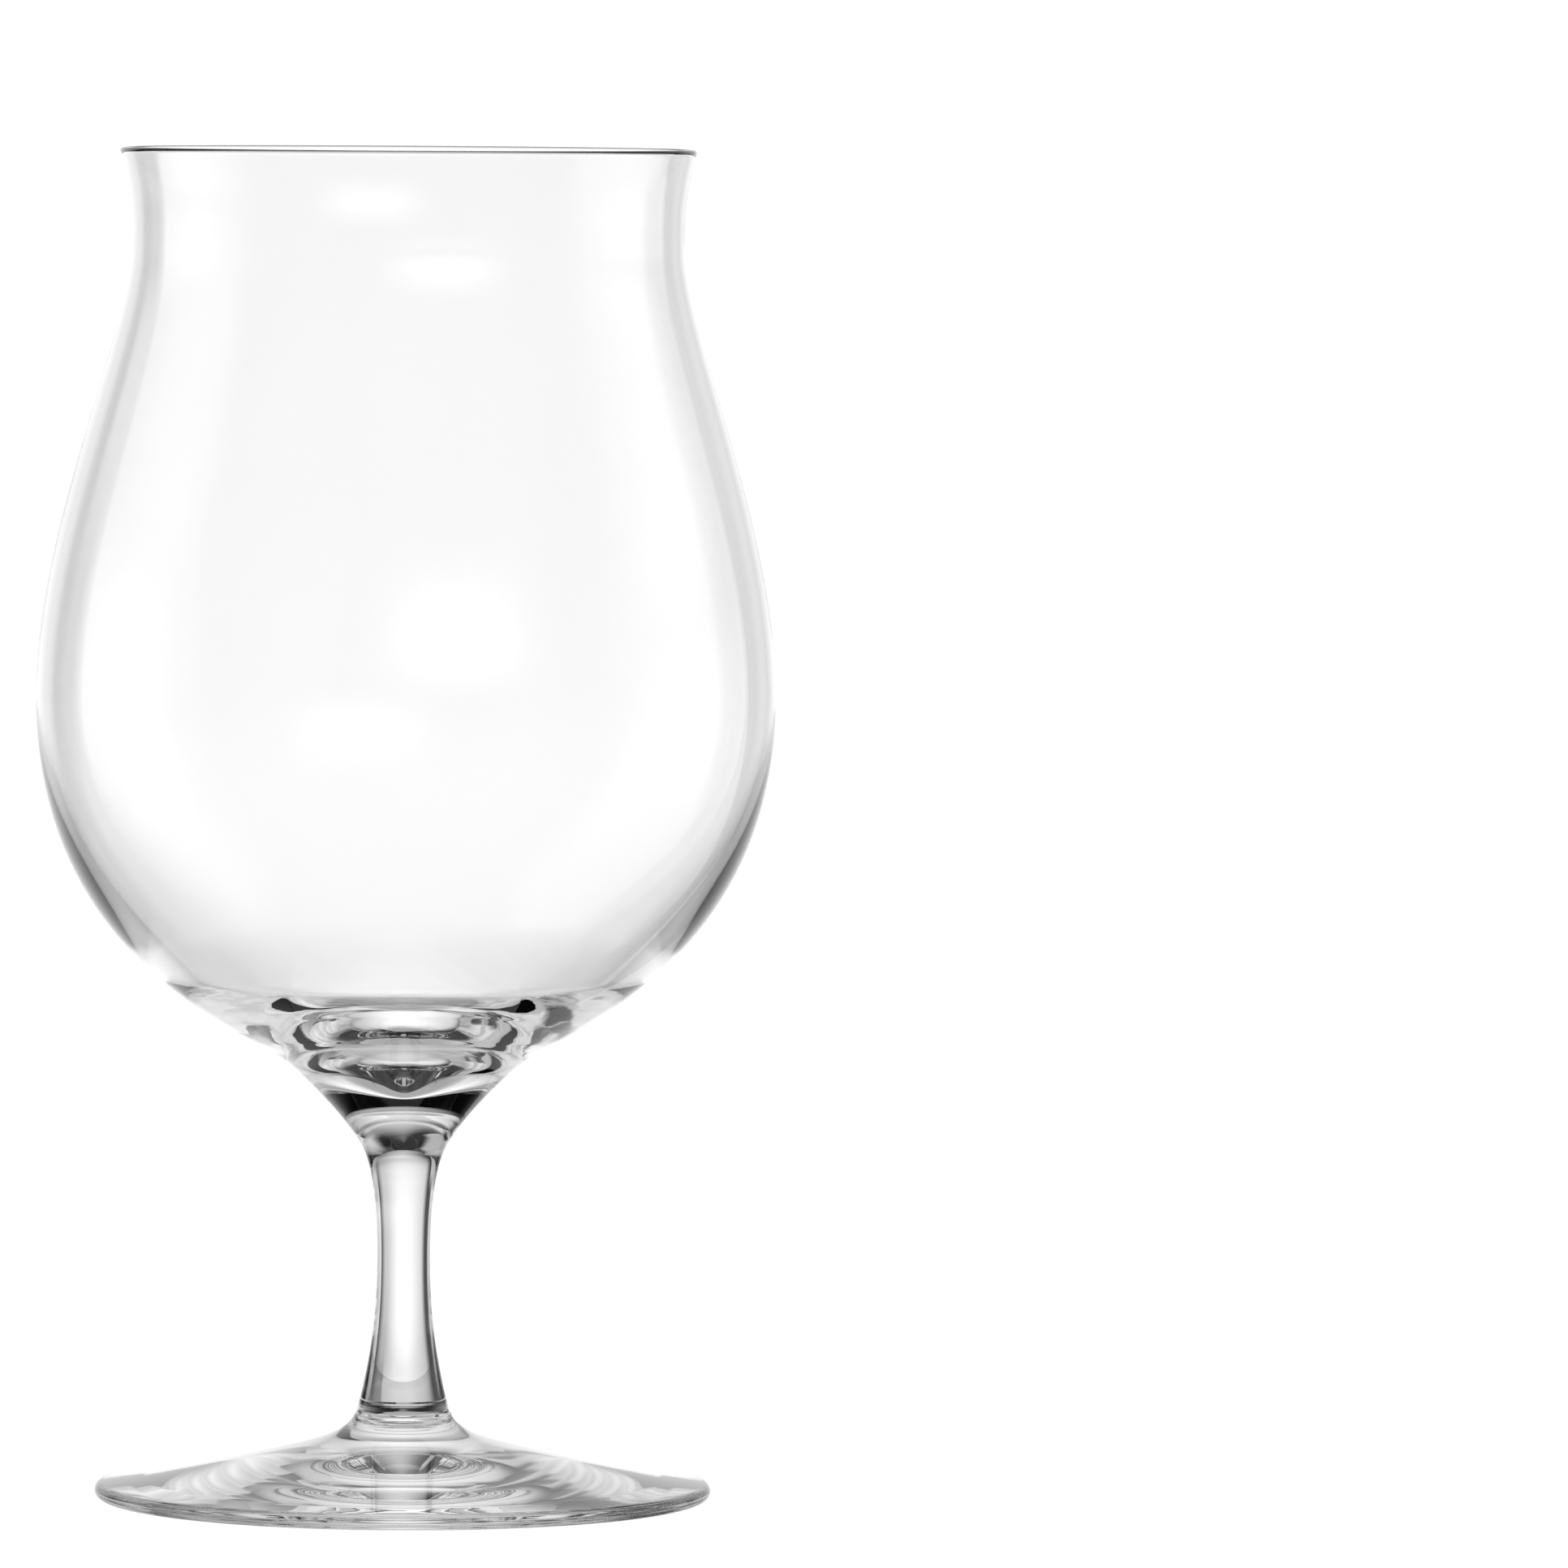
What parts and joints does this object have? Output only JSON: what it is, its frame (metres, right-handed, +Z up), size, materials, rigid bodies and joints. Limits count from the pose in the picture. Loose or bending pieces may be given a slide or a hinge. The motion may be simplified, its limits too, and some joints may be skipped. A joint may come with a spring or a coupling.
{
  "type": "tulip beer glass",
  "caption": "Clear stemmed beer glass: a round bowl on a thick solid base, drawn in to a waisted neck with a flared rim, on a slim stem and a wide, shallow foot.",
  "frame": {"origin": "middle of the foot, on the plane that the glass stands on", "axes": "+Z up along the glass's axis; the glass is round, so +X and +Y lie anywhere in the table's plane"},
  "size_m": [0.0922, 0.0922, 0.1685],
  "materials": {
    "clear_glass": "fire-polished, clear and colourless"
  },
  "bodies": {
    "root": {"foot": "clear_glass", "stem": "clear_glass", "bowl": "clear_glass"}
  },
  "joints": []
}
